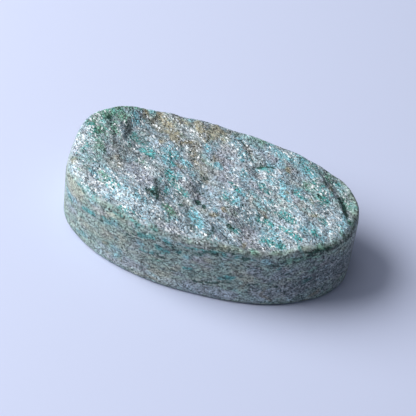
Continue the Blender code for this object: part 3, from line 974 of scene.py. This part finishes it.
def grain_relief(tree, pale, broken, slivers, specks):
    """The grains' facets and small domes, each given as its ways to lean and its dome."""
    lean = times(tree, broken, spread(tree, plus(tree, pale, PALE_START), *SLIVER_LEAN))
    small_lean = times(tree, broken, SPECK_LEAN)
    leaned = facets(tree, (slivers[0], lean), (specks[0], small_lean))
    domes = plus(tree, times(tree, slivers[1], SLIVER_DOME), times(tree, specks[1], SPECK_DOME))
    inputs = {"Height": domes, "Distance": DOME_RISE * MM, "Normal": leaned}
    bump = add(tree, "ShaderNodeBump", inputs, invert=True)
    tree.links.new(spread(tree, broken, *DOME_STRENGTH), bump.inputs["Strength"])
    return bump.outputs[0]


def amazonite():
    """The rock: tinted layers of light and dark grains, with pits, pale specks and painted glints on the
    break, and painted shade in the grooves between slivers and on the dark marks.
    """
    material = bpy.data.materials.new("amazonite")
    material.use_nodes = True
    tree = material.node_tree
    shader = tree.nodes["Principled BSDF"]
    place = add(tree, "ShaderNodeTexCoord").outputs["Object"]
    bent = wavered(tree, place)
    broken = number(tree, "broken")
    slivers = layered(tree, bent, *SLIVER)
    sliver_dark, sliver_glint, sliver_pit, *sliver_relief = grains(tree, slivers)
    speck_pale, speck_light, _, *speck_relief = grains(tree, layered(tree, bent, *SPECK))
    ground_dark, ground_own, ground_gloss, *_ = grains(tree, layered(tree, place, *GROUND_GRAIN))
    pale = paleness(tree, place)
    # The dark marks are partly painted shade: they add the dark tint, dark grains and pits.
    dark = times(tree, number(tree, "dark"), DARK_AND_SHADE_MARK)
    ground_value = ground_light(tree, place, ground_dark, ground_own, dark)
    rough_value = rough_light(tree, slivers, sliver_dark, speck_light, dark)
    color = rock_color(tree, place, bent, broken)
    color = scale_color(tree, color, blend_number(tree, broken, ground_value, rough_value))
    pits = rise(tree, plus(tree, sliver_pit, times(tree, dark, PITS_ON_DARK)), *PITS)
    # Pale specks, partly painted sparkle, and painted glints: slivers turned near white for the lamp's
    # sparkle.
    specks = times(tree, rise(tree, plus(tree, speck_pale, pale), *SPECKS), broken)
    glints = times(tree, rise(tree, plus(tree, sliver_glint, pale), *PAINTED_GLINTS), broken)
    for share, tint in ((pits, PIT_COLOR), (specks, SPECK_COLOR), (glints, PAINTED_GLINT_COLOR)):
        color = blend(tree, share, color, linear(*tint))
    tree.links.new(color, shader.inputs["Base Color"])
    ground_gloss = spread(tree, ground_gloss, *GROUND_GLOSS)
    rough_gloss = spread(tree, sliver_glint, *ROUGH_GLOSS)
    tree.links.new(blend_number(tree, broken, ground_gloss, rough_gloss), shader.inputs["Roughness"])
    normal = grain_relief(tree, pale, broken, sliver_relief, speck_relief)
    tree.links.new(saw_marks(tree, place, normal), shader.inputs["Normal"])
    return material


# The table, the light and the camera

TABLE_HALF = 1.2
TABLE_COLOR = (0.572, 0.63, 0.835, 1)
TABLE_ROUGHNESS = 0.9
WORLD_COLOR = (0.86, 0.90, 1.0, 1)
WORLD_STRENGTH = 0.145

# Lamps: place and size in metres, power in watts, and colour.
LAMPS = {
    "window_light": ((-0.367, -0.065, 0.294), 0.43, 3.50, (1.0, 0.985, 0.965)),
    "ceiling_light": ((-0.3, 0.0, 0.7), 0.8, 1.2, (0.95, 0.97, 1.0)),
}

CAMERA_AZIMUTH = math.radians(17)
CAMERA_ELEVATION = math.radians(43)
CAMERA_ROLL = math.radians(7.8)
CAMERA_PLACE = (0.05073287, -0.16581245, 0.16666201)
CAMERA_LENS = 146.6
SENSOR = 36.0
CLIP = (0.01, 5)


def build_table():
    mesh = bmesh.new()
    bmesh.ops.create_grid(mesh, x_segments=1, y_segments=1, size=TABLE_HALF)
    data = bpy.data.meshes.new("table_top")
    mesh.to_mesh(data)
    mesh.free()
    material = bpy.data.materials.new("pale_table")
    material.use_nodes = True
    shader = material.node_tree.nodes["Principled BSDF"]
    shader.inputs["Base Color"].default_value = TABLE_COLOR
    shader.inputs["Roughness"].default_value = TABLE_ROUGHNESS
    data.materials.append(material)
    table = bpy.data.objects.new("table_top", data)
    bpy.context.scene.collection.objects.link(table)


def add_lamp(name, place, size, power, color):
    """A round lamp turned to the stone."""
    light = bpy.data.lights.new(name, "AREA")
    light.shape = "DISK"
    light.size = size
    light.energy = power
    light.color = color
    lamp = bpy.data.objects.new(name, light)
    bpy.context.scene.collection.objects.link(lamp)
    lamp.location = place
    lamp.rotation_euler = (-Vector(place)).to_track_quat("-Z", "Y").to_euler()


def build_light():
    for name, settings in LAMPS.items():
        add_lamp(name, *settings)
    world = bpy.data.worlds.new("pale_room")
    world.use_nodes = True
    background = world.node_tree.nodes["Background"]
    background.inputs["Color"].default_value = WORLD_COLOR
    background.inputs["Strength"].default_value = WORLD_STRENGTH
    bpy.context.scene.world = world


def build_camera():
    data = bpy.data.cameras.new("camera")
    data.lens = CAMERA_LENS
    data.sensor_width = SENSOR
    data.clip_start, data.clip_end = CLIP
    camera = bpy.data.objects.new("camera", data)
    bpy.context.scene.collection.objects.link(camera)
    tilt = Matrix.Rotation(math.pi / 2 - CAMERA_ELEVATION, 4, "X")
    turn = Matrix.Rotation(CAMERA_AZIMUTH, 4, "Z") @ tilt @ Matrix.Rotation(CAMERA_ROLL, 4, "Z")
    camera.matrix_world = Matrix.Translation(CAMERA_PLACE) @ turn
    bpy.context.scene.camera = camera


build_stone()
build_table()
build_light()
build_camera()
bpy.context.scene.view_settings.view_transform = "Standard"
